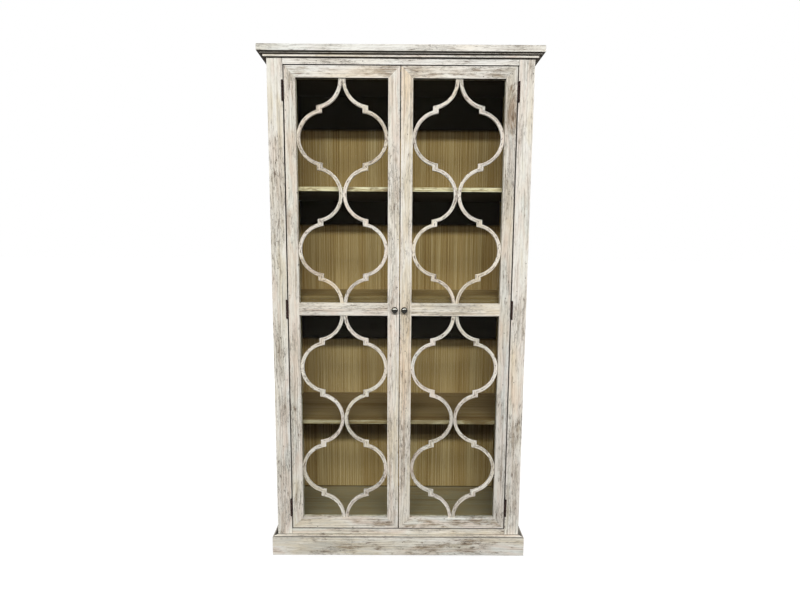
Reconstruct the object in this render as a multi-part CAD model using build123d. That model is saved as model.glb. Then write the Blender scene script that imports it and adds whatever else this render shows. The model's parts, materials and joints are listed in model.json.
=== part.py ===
"""Tall two-door display cabinet: limed pine, glazed doors under quatrefoil fretwork.

Millimetres. X runs across the front, Y from the front to the back, Z up. The origin is
the middle of the cabinet's footprint, on the floor, and the doors face -Y.
"""
from build123d import *
import os

# ---------------------------------------------------------------- driving dimensions
# Carcass
carcass_width = 1050.0
interior_depth = 430.0  # front of the face frame to the face of the back panel
side_thickness = 30.0
floor_height = 69.0  # top of the floor panel
floor_thickness = 20.0
ceiling_thickness = 20.0
housing_depth = 6.0  # how far panels are let into the sides
back_thickness = 10.0
back_lap = 12.0  # how far the back panel laps onto each side

# Face frame
frame_thickness = 22.0
frame_stile_width = 62.5
bottom_rail_show = 25.0  # rail seen between the plinth and the door gap
top_rail_show = 24.0  # rail seen between the door gap and the crown

# Plinth and its stepped upper edge
plinth_height = 85.0
plinth_thickness = 20.0
plinth_step_width = 6.0
plinth_step_height = 4.0
base_rail_thickness = 20.0
base_runner_width = 30.0

# Crown moulding of two fillets, under an overhanging top board
crown_low_height = 9.5
crown_low_reach = 11.0
crown_high_height = 4.0
crown_high_reach = 21.0
top_board_thickness = 26.0
top_board_overhang = 31.0
top_board_easing = 3.0

# Doors
door_height = 1923.0
door_thickness = 25.0
door_gap = 3.5
door_meeting_stile_width = 47.5
door_hinge_stile_width = 45.0
door_top_rail_width = 46.5
door_middle_rail_width = 52.5
door_bottom_rail_width = 46.5
lower_light_height = 889.5

# Glazing
glass_recess = 16.0  # front of the door to the front of the glass
glass_thickness = 4.0
rebate_width = 9.0
pane_clearance = 1.0

# Fretwork, planted on the glass
fret_width = 14.0
fret_thickness = 10.0
fret_seam = 0.6  # between the two strips where they meet
fret_stile_lap = 0.5  # part of the bulge trimmed off at the stile
fret_lap = 0.7  # overlap of two stacked arcs at a shoulder
fret_shoulder_width = 22.0
foils_per_light = 2
upper_fret_drop = 4.5  # middle of the upper light to the middle of its fretwork

# Shelves
shelf_thickness = 18.0
middle_shelf_thickness = 25.0  # the fixed shelf, behind the doors' middle rails
shelf_setback = 45.0  # front of the face frame to the shelves' front edge
shelf_end_clearance = 0.5
upper_shelf_height = 1578.0
middle_shelf_height = 1123.0
lower_shelf_height = 585.0
pin_radius = 3.5
pin_depth = 10.0
pin_inset = 45.0
pin_flange_radius = 6.0
pin_flange_thickness = 1.5
spoon_length = 12.0
spoon_width = 14.0
spoon_thickness = 2.5

# Butt hinges
hinge_height = 76.0
hinge_end_distance = 96.0  # end of the door to the middle of a hinge
leaf_thickness = 2.2
leaf_gap = 0.6
leaf_depth = 20.0  # how far a leaf runs back from the front
knuckle_radius = 4.0
knuckle_standoff = 0.4  # knuckle to the front of the wood
knuckle_offset = 3.5  # hinge axis outward from the middle of the gap
knuckle_count = 5
knuckle_play = 0.3
hinge_pin_radius = 1.8
hinge_pin_head_radius = 3.0
hinge_pin_head_height = 1.5
running_clearance = 0.05

# Wood screws
screw_radius = 1.7
screw_head_radius = 3.2
screw_head_height = 1.7
screw_length = 16.0
screws_per_leaf = 3
leaf_screw_spacing = 26.0

# Screws of the back panel
back_screw_inset = 6.0
back_screws_per_side = 6
back_screws_per_panel = 3

# Door stop and magnetic catches
stop_thickness = 18.0
stop_lap = 13.0  # how far the stop reaches down behind the doors
stop_clearance = 0.5
catch_width = 40.0
catch_height = 14.0
catch_depth = 18.0
catch_distance = 31.0  # centre of the cabinet to the middle of a catch
catch_air_gap = 0.3
catch_plate_thickness = 2.0
catch_plate_margin = 1.0

# Knobs
knob_radius = 13.0
knob_reach = 25.0
knob_crown_thickness = 12.0
knob_brim_rise = 4.0  # underside of the crown to its widest ring
knob_face_radius = 6.5  # ring of the crown that lies knob_face_drop behind the tip
knob_face_drop = 2.0
knob_neck_radius = 5.5
knob_neck_start = 4.0  # back of the rose to the parallel part of the neck
knob_rose_radius = 9.0
knob_rose_thickness = 2.0
knob_distance = 20.0  # centre of the cabinet to the middle of a knob
knob_screw_radius = 2.0
knob_screw_head_radius = 4.0
knob_screw_head_height = 2.5
knob_screw_grip = 10.0

# ---------------------------------------------------------------- derived places
half_width = carcass_width / 2
total_depth = top_board_overhang + interior_depth + back_thickness
front_y = top_board_overhang - total_depth / 2
back_y = total_depth / 2
inner_back_y = front_y + interior_depth
frame_back_y = front_y + frame_thickness
door_back_y = front_y + door_thickness
glass_y = front_y + glass_recess
glass_back_y = glass_y + glass_thickness
shelf_front_y = front_y + shelf_setback

inner_half_width = half_width - side_thickness
housed_half_width = inner_half_width + housing_depth
back_half_width = inner_half_width + back_lap
opening_half_width = half_width - frame_stile_width

door_bottom = plinth_height + bottom_rail_show + door_gap
door_top = door_bottom + door_height
opening_bottom = door_bottom - door_gap
opening_top = door_top + door_gap
crown_bottom = opening_top + top_rail_show
carcass_top = crown_bottom + crown_low_height + crown_high_height
cabinet_top = carcass_top + top_board_thickness
floor_bottom = floor_height - floor_thickness
ceiling_bottom = carcass_top - ceiling_thickness
middle_shelf_bottom = middle_shelf_height - middle_shelf_thickness

door_inner_x = door_gap / 2
door_outer_x = opening_half_width - door_gap
light_inner_x = door_inner_x + door_meeting_stile_width
light_outer_x = door_outer_x - door_hinge_stile_width
light_centre_x = (light_inner_x + light_outer_x) / 2
light_half_width = (light_outer_x - light_inner_x) / 2
lower_light_bottom = door_bottom + door_bottom_rail_width
lower_light = (lower_light_bottom, lower_light_bottom + lower_light_height)
upper_light = (lower_light[1] + door_middle_rail_width, door_top - door_top_rail_width)
middle_rail_centre = (lower_light[1] + upper_light[0]) / 2

gap_x = opening_half_width - door_gap / 2
hinge_x = gap_x + knuckle_offset
hinge_y = front_y - knuckle_standoff - knuckle_radius
hinge_heights = (door_bottom + hinge_end_distance, middle_rail_centre, door_top - hinge_end_distance)
leaf_near = leaf_gap / 2
leaf_far = leaf_near + leaf_thickness
stop_bottom = door_top - stop_lap
stop_front_y = door_back_y + stop_clearance
catch_x = (catch_distance - catch_width / 2, catch_distance + catch_width / 2)
catch_z = (stop_bottom - catch_height, stop_bottom)
catch_front_y = door_back_y + catch_plate_thickness + catch_air_gap

# ---------------------------------------------------------------- helpers
nodes = {}


def block(x, y, z):
    """Box between two values of each of x, y and z."""
    centre = [(low + high) / 2 for low, high in (x, y, z)]
    return Pos(*centre) * Box(x[1] - x[0], y[1] - y[0], z[1] - z[0])


def slab(outline, near_y, far_y):
    """Front-view outline (across, up) given a thickness from near_y back to far_y."""
    far_plane = Plane(origin=(0, far_y, 0), x_dir=(1, 0, 0), z_dir=(0, -1, 0))
    return extrude(far_plane * outline, amount=far_y - near_y, dir=(0, -1, 0))


def rod(radius, start, direction, length):
    """Cylinder of one radius from a start point."""
    return extrude(Plane(origin=start, z_dir=direction) * Circle(radius), amount=length)


def turned(profile, start, direction):
    """Solid turned about an axis: the profile is a list of (distance along it, radius)."""
    points = [(radius, along) for along, radius in profile]
    axis_end = [(0, profile[-1][0]), (0, profile[0][0])]
    section = Polygon(*points, *axis_end, align=None)
    solid = revolve(Plane.XZ * section, axis=Axis.Z)
    return Plane(origin=start, z_dir=direction) * solid


def wood_screw(start, direction, length=screw_length, clearance=0.0):
    """Countersunk screw whose flat head lies at start; with a clearance, the hole for it."""
    head = screw_head_radius + clearance
    shank = screw_radius + clearance
    profile = [(0, head), (screw_head_height, shank), (length + clearance, shank)]
    return turned(profile, start, direction)


def screw_holes(places):
    """Holes for the screws at a list of (start, direction) places."""
    return [wood_screw(start, direction, clearance=running_clearance) for start, direction in places]


def cut(solid, tools):
    """Take a list of tools out of a solid."""
    return solid - tools if tools else solid


def mirrored(shape):
    """The same shape on the other side of the cabinet."""
    return mirror(shape, about=Plane.YZ)


def group(solids):
    """Several solids kept apart in one shape."""
    return Compound([solid for shape in solids for solid in shape.solids()])


def add(name, shape):
    nodes[name] = shape


def add_pair(name, shape):
    """A right-hand piece and its mirror image."""
    nodes["right_" + name] = shape
    nodes["left_" + name] = mirrored(shape)


def spread(low, high, count):
    """Evenly spaced places from low to high."""
    return [low + (high - low) * step / (count - 1) for step in range(count)]


# ---------------------------------------------------------------- places of the fasteners
def leaf_screw_heights():
    """Heights of all screws in the leaves on one edge."""
    middle = (screws_per_leaf - 1) / 2
    offsets = [(step - middle) * leaf_screw_spacing for step in range(screws_per_leaf)]
    return [z + offset for z in hinge_heights for offset in offsets]


leaf_screw_y = front_y + leaf_depth / 2
frame_screws = [((gap_x + leaf_near, leaf_screw_y, z), (1, 0, 0)) for z in leaf_screw_heights()]
door_screws = [((gap_x - leaf_near, leaf_screw_y, z), (-1, 0, 0)) for z in leaf_screw_heights()]
plate_screw_z = (catch_z[0] + catch_z[1]) / 2
plate_screw = ((catch_distance, door_back_y + catch_plate_thickness, plate_screw_z), (0, -1, 0))

back_edge_x = inner_half_width + back_screw_inset
side_back_screws = [
    ((back_edge_x, back_y, z), (0, -1, 0))
    for z in spread(floor_height + pin_inset, ceiling_bottom - pin_inset, back_screws_per_side)
]
panel_screw_xs = spread(-inner_half_width / 2, inner_half_width / 2, back_screws_per_panel)


def panel_back_screws(z):
    """Screws through the back panel into the rear edge of a panel centred at height z."""
    return [((x, back_y, z), (0, -1, 0)) for x in panel_screw_xs]


floor_back_screws = panel_back_screws(floor_height - floor_thickness / 2)
ceiling_back_screws = panel_back_screws(carcass_top - ceiling_thickness / 2)
shelf_back_screws = panel_back_screws(middle_shelf_height - middle_shelf_thickness / 2)
rail_back_screws = floor_back_screws + ceiling_back_screws + shelf_back_screws


def shelf_pin(height, y):
    """Spoon pin in the right-hand side, under a shelf whose top is at a height."""
    under = height - shelf_thickness
    z = under - pin_radius
    wall = inner_half_width
    shank = rod(pin_radius, (wall + pin_depth, y, z), (-1, 0, 0), pin_depth + pin_flange_thickness)
    flange = rod(pin_flange_radius, (wall, y, z), (-1, 0, 0), pin_flange_thickness)
    spoon_x = (wall - spoon_length, wall)
    flange -= block(spoon_x, (y - spoon_width, y + spoon_width), (under, under + pin_flange_radius))
    spoon_y = (y - spoon_width / 2, y + spoon_width / 2)
    spoon = block(spoon_x, spoon_y, (under - spoon_thickness, under))
    return shank + flange + spoon


pin_ys = (shelf_front_y + pin_inset, inner_back_y - pin_inset)
pin_places = [(height, y) for height in (upper_shelf_height, lower_shelf_height) for y in pin_ys]


# ---------------------------------------------------------------- carcass
def side_panel():
    """Right-hand side, housed for the floor, ceiling and middle shelf, rabbeted for the back."""
    panel = block((inner_half_width, half_width), (frame_back_y, back_y), (0, carcass_top))
    rabbet_x = (inner_half_width, back_half_width)
    rabbet = block(rabbet_x, (inner_back_y, back_y), (floor_bottom, carcass_top))
    housings = [
        block((inner_half_width, housed_half_width), (near_y, inner_back_y), z)
        for near_y, z in (
            (frame_back_y, (floor_bottom, floor_height)),
            (frame_back_y, (ceiling_bottom, carcass_top)),
            (shelf_front_y, (middle_shelf_bottom, middle_shelf_height)),
        )
    ]
    pin_holes = [
        rod(
            pin_radius + running_clearance,
            (inner_half_width, y, height - shelf_thickness - pin_radius),
            (1, 0, 0),
            pin_depth + running_clearance,
        )
        for height, y in pin_places
    ]
    return cut(panel, [rabbet, *housings, *pin_holes, *screw_holes(side_back_screws)])


def housed_panel(near_y, z, screws):
    """Panel let into both sides and screwed from behind."""
    panel = block((-housed_half_width, housed_half_width), (near_y, inner_back_y), z)
    return cut(panel, screw_holes(screws))


def loose_shelf(height):
    """Shelf that rests on four pins."""
    end = inner_half_width - shelf_end_clearance
    return block((-end, end), (shelf_front_y, inner_back_y), (height - shelf_thickness, height))


def back_panel():
    """Back panel in the sides' rabbets, with its screw holes."""
    span = (-back_half_width, back_half_width)
    panel = block(span, (inner_back_y, back_y), (floor_bottom, carcass_top))
    sides = screw_holes(side_back_screws)
    mirrored_sides = [mirrored(hole) for hole in sides]
    return cut(panel, [*sides, *mirrored_sides, *screw_holes(rail_back_screws)])


def mitred_moulding(profile, reach):
    """Front and right-hand runs of a moulding, mitred where they meet.

    The profile's points are (distance out from the carcass, height).
    """
    long_run = half_width + reach
    height = (min(z for _, z in profile), max(z for _, z in profile))
    front_profile = Polygon(*[(front_y - out, z) for out, z in profile], align=None)
    front = extrude(Plane.YZ.offset(-long_run) * front_profile, amount=2 * long_run, dir=(1, 0, 0))
    side_profile = Polygon(*[(half_width + out, z) for out, z in profile], align=None)
    side = slab(side_profile, front_y - reach, back_y)
    tip = (long_run, front_y - reach)
    root = (half_width, front_y)
    front_plan = Polygon((-tip[0], tip[1]), tip, root, (-root[0], root[1]), align=None)
    side_plan = Polygon(root, tip, (long_run, back_y), (half_width, back_y), align=None)
    zones = [
        extrude(Plane.XY.offset(height[0]) * plan, amount=height[1] - height[0], dir=(0, 0, 1))
        for plan in (front_plan, side_plan)
    ]
    return front & zones[0], side & zones[1]


def build_carcass():
    add_pair("side_panel", side_panel())
    add("floor_panel", housed_panel(frame_back_y, (floor_bottom, floor_height), floor_back_screws))
    add("ceiling_panel", housed_panel(frame_back_y, (ceiling_bottom, carcass_top), ceiling_back_screws))
    shelf_span = (middle_shelf_bottom, middle_shelf_height)
    add("middle_shelf", housed_panel(shelf_front_y, shelf_span, shelf_back_screws))
    add("upper_shelf", loose_shelf(upper_shelf_height))
    add("lower_shelf", loose_shelf(lower_shelf_height))
    pins = [shelf_pin(height, y) for height, y in pin_places]
    add("shelf_pins", group(pins + [mirrored(pin) for pin in pins]))
    add("back_panel", back_panel())
    back_screws = [wood_screw(*place) for place in side_back_screws]
    rail_screws = [wood_screw(*place) for place in rail_back_screws]
    add("back_panel_screws", group(back_screws + [mirrored(s) for s in back_screws] + rail_screws))


def build_base():
    step_x = plinth_thickness - plinth_step_width
    step_z = plinth_height - plinth_step_height
    profile = [
        (0, 0),
        (plinth_thickness, 0),
        (plinth_thickness, step_z),
        (step_x, step_z),
        (step_x, plinth_height),
        (0, plinth_height),
    ]
    front, side = mitred_moulding(profile, plinth_thickness)
    add("plinth_front", front)
    add_pair("plinth_side", side)
    span = (-inner_half_width, inner_half_width)
    add("base_back_rail", block(span, (back_y - base_rail_thickness, back_y), (0, floor_bottom)))
    runner_x = (-base_runner_width / 2, base_runner_width / 2)
    add("base_runner", block(runner_x, (front_y, back_y - base_rail_thickness), (0, floor_bottom)))


def build_cornice():
    low_top = crown_bottom + crown_low_height
    profile = [
        (0, crown_bottom),
        (crown_low_reach, crown_bottom),
        (crown_low_reach, low_top),
        (crown_high_reach, low_top),
        (crown_high_reach, carcass_top),
        (0, carcass_top),
    ]
    front, side = mitred_moulding(profile, crown_high_reach)
    add("crown_front", front)
    add_pair("crown_side", side)
    reach = half_width + top_board_overhang
    board = block((-reach, reach), (front_y - top_board_overhang, back_y), (carcass_top, cabinet_top))
    back_edges = board.faces().sort_by(Axis.Y)[-1].edges()
    eased = [edge for edge in board.edges() if not any(edge.is_same(other) for other in back_edges)]
    add("cornice_top_board", fillet(eased, top_board_easing))


# ---------------------------------------------------------------- face frame and stop
def leaf_mortises():
    """Shallow seats for one edge's leaves, on the outer side of the gap."""
    half = hinge_height / 2
    seat_y = (front_y, front_y + leaf_depth)
    return [block((gap_x, gap_x + leaf_far), seat_y, (z - half, z + half)) for z in hinge_heights]


def build_face_frame():
    stile = block((opening_half_width, half_width), (front_y, frame_back_y), (0, carcass_top))
    add_pair("face_stile", cut(stile, leaf_mortises() + screw_holes(frame_screws)))
    span = (-opening_half_width, opening_half_width)
    add("top_face_rail", block(span, (front_y, frame_back_y), (opening_top, carcass_top)))
    add("bottom_face_rail", block(span, (front_y, frame_back_y), (floor_bottom, opening_bottom)))


def catch_screw(clearance=0.0):
    """Screw up through a catch into the door stop."""
    start = (catch_distance, catch_front_y + catch_depth / 2, catch_z[0])
    return wood_screw(start, (0, 0, 1), length=catch_height + screw_length, clearance=clearance)


def build_stop():
    hole = catch_screw(running_clearance)
    span = (-inner_half_width, inner_half_width)
    strip = block(span, (stop_front_y, stop_front_y + stop_thickness), (stop_bottom, ceiling_bottom))
    add("door_stop", cut(strip, [hole, mirrored(hole)]))
    catch = cut(block(catch_x, (catch_front_y, catch_front_y + catch_depth), catch_z), [hole])
    add("catch_magnets", group([catch, mirrored(catch)]))


# ---------------------------------------------------------------- hinges
def hinge_leaf(z, frame_side):
    """One leaf and its knuckles, at the right-hand gap.

    The frame's leaf has the odd knuckles, and the door's leaf has the even ones.
    """
    sign = 1 if frame_side else -1
    plate_x = sorted((gap_x + sign * leaf_near, gap_x + sign * leaf_far))
    bottom = z - hinge_height / 2
    plate = block(plate_x, (front_y, front_y + leaf_depth), (bottom, bottom + hinge_height))
    knuckle_length = hinge_height / knuckle_count
    leaf = plate
    for index in range(0 if frame_side else 1, knuckle_count, 2):
        low = bottom + index * knuckle_length + knuckle_play / 2
        length = knuckle_length - knuckle_play
        barrel = rod(knuckle_radius, (hinge_x, hinge_y, low), (0, 0, 1), length)
        neck_x = (plate_x[0], max(plate_x[1], hinge_x))
        neck = block(neck_x, (hinge_y, front_y - knuckle_standoff), (low, low + length))
        root = block(plate_x, (hinge_y, front_y), (low, low + length))
        leaf += barrel + neck + root
    bore = rod(hinge_pin_radius + running_clearance, (hinge_x, hinge_y, bottom), (0, 0, 1), hinge_height)
    places = frame_screws if frame_side else door_screws
    own = [place for place in places if abs(place[0][2] - z) < hinge_height / 2]
    return cut(leaf, [bore] + screw_holes(own))


def hinge_pin(z):
    """Pin with a flat head at each end."""
    bottom = z - hinge_height / 2
    top = bottom + hinge_height
    profile = [
        (-hinge_pin_head_height, hinge_pin_head_radius),
        (0, hinge_pin_head_radius),
        (0, hinge_pin_radius),
        (top - bottom, hinge_pin_radius),
        (top - bottom, hinge_pin_head_radius),
        (top - bottom + hinge_pin_head_height, hinge_pin_head_radius),
    ]
    return turned(profile, (hinge_x, hinge_y, bottom), (0, 0, 1))


def build_hinges():
    frame_leaves = [hinge_leaf(z, True) for z in hinge_heights]
    pins = [hinge_pin(z) for z in hinge_heights]
    screws = [wood_screw(*place) for place in frame_screws] + [catch_screw()]
    add("hinge_frame_leaves", group(frame_leaves + [mirrored(leaf) for leaf in frame_leaves]))
    add("hinge_pins", group(pins + [mirrored(pin) for pin in pins]))
    add("carcass_screws", group(screws + [mirrored(screw) for screw in screws]))
    add_pair("door_hinge_leaves", group([hinge_leaf(z, False) for z in hinge_heights]))


# ---------------------------------------------------------------- doors
def mitred_members(x, z, widths, y):
    """Inner, outer, bottom and top members of a frame with mitred corners.

    The widths are those of the inner, outer, bottom and top member, in that order.
    """
    inner, outer, bottom, top = widths
    hole_x = (x[0] + inner, x[1] - outer)
    hole_z = (z[0] + bottom, z[1] - top)
    outlines = (
        [(x[0], z[0]), (hole_x[0], hole_z[0]), (hole_x[0], hole_z[1]), (x[0], z[1])],
        [(x[1], z[0]), (x[1], z[1]), (hole_x[1], hole_z[1]), (hole_x[1], hole_z[0])],
        [(x[0], z[0]), (x[1], z[0]), (hole_x[1], hole_z[0]), (hole_x[0], hole_z[0])],
        [(x[0], z[1]), (hole_x[0], hole_z[1]), (hole_x[1], hole_z[1]), (x[1], z[1])],
    )
    return [slab(Polygon(*points, align=None), *y) for points in outlines]


def widened(span, margin):
    return (span[0] - margin, span[1] + margin)


def rebates():
    """Space for the glass and its beads, behind each light."""
    light_x = (light_inner_x, light_outer_x)
    return [
        block(widened(light_x, rebate_width), (glass_y, door_back_y), widened(light_z, rebate_width))
        for light_z in (lower_light, upper_light)
    ]


def knob_hole():
    start = (knob_distance, door_back_y, middle_rail_centre)
    return rod(knob_screw_radius + running_clearance, start, (0, -1, 0), door_thickness)


def build_door_frame():
    stile_widths = (door_meeting_stile_width, door_hinge_stile_width)
    widths = (*stile_widths, door_bottom_rail_width, door_top_rail_width)
    door_x = (door_inner_x, door_outer_x)
    door_z = (door_bottom, door_top)
    members = mitred_members(door_x, door_z, widths, (front_y, door_back_y))
    meeting, hinge, bottom, top = [cut(member, rebates()) for member in members]
    plate_hole = screw_holes([plate_screw])
    add_pair("door_meeting_stile", cut(meeting, [knob_hole()] + plate_hole))
    mortises = [mirror(seat, about=Plane.YZ.offset(gap_x)) for seat in leaf_mortises()]
    add_pair("door_hinge_stile", cut(hinge, mortises + screw_holes(door_screws)))
    add_pair("door_bottom_rail", bottom)
    add_pair("door_top_rail", cut(top, plate_hole))
    rail_z = (lower_light[1], upper_light[0])
    rail = block((light_inner_x, light_outer_x), (front_y, door_back_y), rail_z)
    add_pair("door_middle_rail", cut(rail, rebates()))


def build_glazing():
    light_x = (light_inner_x, light_outer_x)
    lip = rebate_width - pane_clearance
    panes = []
    beads = []
    for light_z in (lower_light, upper_light):
        panes.append(block(widened(light_x, lip), (glass_y, glass_back_y), widened(light_z, lip)))
        outer_x = widened(light_x, rebate_width)
        outer_z = widened(light_z, rebate_width)
        beads += mitred_members(outer_x, outer_z, [rebate_width] * 4, (glass_back_y, door_back_y))
    add_pair("door_glass_panes", group(panes))
    add_pair("door_glass_beads", group(beads))


def fret_strip(light_z, drop):
    """Outer strip of a light's fretwork: waist arcs and bulge arcs stacked at shoulders.

    The drop is how far its pattern lies below the middle of the light.
    """
    height = light_z[1] - light_z[0]
    foil_height = height / foils_per_light
    radius = (foil_height / 2 - fret_width + fret_lap) / 2
    waist_x = (fret_seam + fret_width) / 2 + radius
    bulge_x = light_half_width + fret_stile_lap - fret_width / 2 - radius
    shoulder_x = (waist_x + bulge_x) / 2
    ring = Circle(radius + fret_width / 2) - Circle(radius - fret_width / 2)
    inner_zone = Rectangle(shoulder_x + fret_shoulder_width / 2, height, align=(Align.MIN, Align.MIN))
    outer_start = shoulder_x - fret_shoulder_width / 2
    outer_zone = Rectangle(light_half_width - outer_start, height, align=(Align.MIN, Align.MIN))
    outline = Sketch()
    for index in range(foils_per_light + 1):
        outline += (Pos(waist_x, index * foil_height - drop) * ring) & inner_zone
    for index in range(foils_per_light):
        middle = (index + 0.5) * foil_height - drop
        outline += (Pos(bulge_x, middle) * ring) & (Pos(outer_start, 0) * outer_zone)
    for index in range(2 * foils_per_light):
        shoulder_z = (index + 0.5) * foil_height / 2 - drop
        outline += Pos(shoulder_x, shoulder_z) * Rectangle(fret_shoulder_width, fret_width)
    trim = Rectangle(light_half_width - fret_seam / 2, height, align=(Align.MIN, Align.MIN))
    outline = outline & (Pos(fret_seam / 2, 0) * trim)
    return Pos(light_centre_x, 0, light_z[0]) * slab(outline, glass_y - fret_thickness, glass_y)


def build_fretwork():
    for name, light_z, drop in (("lower", lower_light, 0.0), ("upper", upper_light, upper_fret_drop)):
        strip = fret_strip(light_z, drop)
        add_pair("door_%s_outer_fret" % name, strip)
        add_pair("door_%s_inner_fret" % name, mirror(strip, about=Plane.YZ.offset(light_centre_x)))


def build_knobs():
    face = (knob_distance, front_y, middle_rail_centre)
    crown_start = knob_reach - knob_crown_thickness
    widest = crown_start + knob_brim_rise
    profile = Polyline(
        (0, 0),
        (knob_rose_radius, 0),
        (knob_rose_radius, knob_rose_thickness),
        (knob_neck_radius, knob_neck_start),
        (knob_neck_radius, crown_start),
        (knob_radius, widest),
    )
    face_ring = (knob_face_radius, knob_reach - knob_face_drop)
    dome = Spline((knob_radius, widest), face_ring, (0, knob_reach), tangents=((0, 1), (-1, 0)))
    section = make_face([*profile.edges(), *dome.edges(), Line((0, knob_reach), (0, 0))])
    knob = Plane(origin=face, z_dir=(0, -1, 0)) * revolve(Plane.XZ * section, axis=Axis.Z)
    grip_depth = knob_screw_grip + running_clearance
    grip = rod(knob_screw_radius + running_clearance, face, (0, -1, 0), grip_depth)
    add_pair("knob", cut(knob, [grip]))
    back = (knob_distance, door_back_y + knob_screw_head_height, middle_rail_centre)
    screw_end = knob_screw_head_height + door_thickness + knob_screw_grip
    screw_profile = [
        (0, knob_screw_head_radius),
        (knob_screw_head_height, knob_screw_head_radius),
        (knob_screw_head_height, knob_screw_radius),
        (screw_end, knob_screw_radius),
    ]
    add_pair("knob_screw", turned(screw_profile, back, (0, -1, 0)))


def build_door_fittings():
    screws = [wood_screw(*place) for place in door_screws + [plate_screw]]
    add_pair("door_screws", group(screws))
    plate_x = widened(catch_x, -catch_plate_margin)
    plate_z = widened(catch_z, -catch_plate_margin)
    plate = block(plate_x, (door_back_y, door_back_y + catch_plate_thickness), plate_z)
    add_pair("catch_plate", cut(plate, screw_holes([plate_screw])))


# ---------------------------------------------------------------- build and write
build_carcass()
build_base()
build_cornice()
build_face_frame()
build_stop()
build_hinges()
build_door_frame()
build_glazing()
build_fretwork()
build_knobs()
build_door_fittings()

os.makedirs("parts", exist_ok=True)
for node_name, node_shape in nodes.items():
    export_step(node_shape, "parts/%s.step" % node_name)
print(len(nodes), "nodes")
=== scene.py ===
"""Looks of the tall two-door display cabinet: worn limed pine, glass, black iron and bronze.

Everything is in metres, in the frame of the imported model: X across the front, Y from the
front to the back, Z up, and the doors face -Y. Each wooden board of the model is dressed
as a worn board of the same size, cut from the model's own solid.
"""

import json
import math
from collections import namedtuple
from types import SimpleNamespace

import bmesh
import bpy
import numpy as np
from mathutils import Matrix, Vector

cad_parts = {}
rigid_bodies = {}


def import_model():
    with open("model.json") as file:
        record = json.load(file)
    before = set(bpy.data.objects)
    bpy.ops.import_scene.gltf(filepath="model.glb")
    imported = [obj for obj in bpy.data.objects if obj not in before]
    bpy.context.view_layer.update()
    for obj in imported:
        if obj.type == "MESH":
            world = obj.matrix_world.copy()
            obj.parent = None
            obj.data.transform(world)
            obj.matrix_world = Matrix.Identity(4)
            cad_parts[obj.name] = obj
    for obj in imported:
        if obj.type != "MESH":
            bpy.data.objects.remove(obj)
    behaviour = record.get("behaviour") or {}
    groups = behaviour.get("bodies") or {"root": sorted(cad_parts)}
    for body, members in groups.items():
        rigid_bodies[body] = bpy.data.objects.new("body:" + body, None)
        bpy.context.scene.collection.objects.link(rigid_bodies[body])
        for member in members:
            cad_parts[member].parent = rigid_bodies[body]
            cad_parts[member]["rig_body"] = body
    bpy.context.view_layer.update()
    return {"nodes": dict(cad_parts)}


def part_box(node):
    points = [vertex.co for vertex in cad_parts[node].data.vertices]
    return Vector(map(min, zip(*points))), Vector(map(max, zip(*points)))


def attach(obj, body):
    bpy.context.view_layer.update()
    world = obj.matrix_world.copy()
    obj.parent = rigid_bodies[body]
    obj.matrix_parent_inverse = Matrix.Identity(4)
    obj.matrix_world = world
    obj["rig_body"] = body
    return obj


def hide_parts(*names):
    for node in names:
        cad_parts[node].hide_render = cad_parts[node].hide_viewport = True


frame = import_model()

MM = 0.001
X, Y, Z = 0, 1, 2
SIDES = (("left", -1), ("right", 1))

# ---- places read from the model
front_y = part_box("top_face_rail")[0].y
back_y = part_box("back_panel")[0].y
shelf_front_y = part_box("upper_shelf")[0].y
outer_low, outer_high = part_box("right_door_upper_outer_fret")
light_centre = (outer_low.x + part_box("right_door_upper_inner_fret")[1].x) / 2
light_half_width = outer_high.x - light_centre
fret_front = outer_low.y
fret_depth = outer_high.y - outer_low.y

# ---- studio light
# Each lamp's place, the point it faces, its size and its power.
LAMPS = {
    "strip_high": ((0, -4.6, 3.37), (0, -2.5, 0), (5.0, 0.30), 292),
    "strip_low": ((0, -4.6, 2.97), (0, -2.5, 0), (5.0, 0.10), 60),
    "left_box": ((-3.2, 0.4, 1.9), (0, 0.1, 1.1), (1.6, 1.6), 62),
    "right_box": ((3.2, 0.4, 1.9), (0, 0.1, 1.1), (1.6, 1.6), 62),
    "back_box": ((0, 3.2, 2.2), (0, 0.2, 1.1), (2.2, 1.6), 85),
    "sparkle": ((0, -4.6, 3.2), (0, front_y, 1.1), (10.0, 0.65), 2800),
}
AMBIENT = 0.003
FLOOR_REACH = 60.0
FLOOR_FADE = (1.0, 3.4)  # distances from the cabinet between which its shadow gives way to white
FLOOR_GLOW = (0.72, 1.02)
CAMERA_PLACE = (-0.003, -2.0504, 1.3192)
CAMERA_TURNS = (6.28, -0.15, 0.32)  # degrees down, to the left and clockwise
SENSOR_MM, LENS_MM = 36, 20.25
CLIP = (0.01, 200)


# ---- repeatable noise
def lattice(cell, seed):
    """Repeatable value from 0 to 1 for each whole-numbered cell."""
    n = cell[:, 0] * 374761393 + cell[:, 1] * 668265263 + cell[:, 2] * 1440662683 + seed * 1274126177
    n = (n ^ (n >> 13)) * 1274126177
    return ((n ^ (n >> 16)) & 0xFFFFFF) / 0xFFFFFF


def noise(points, size, seed):
    """Value noise from -1 to 1, with features of a size given for each axis."""
    scaled = points / np.asarray(size, float)
    low = np.floor(scaled).astype(np.int64)
    t = scaled - low
    t = t * t * (3 - 2 * t)
    total = np.zeros(len(points))
    for corner in np.ndindex(2, 2, 2):
        weight = np.prod(np.where(np.array(corner) == 1, t, 1 - t), axis=1)
        total += weight * lattice(low + np.array(corner), seed)
    return 2 * total - 1


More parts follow.
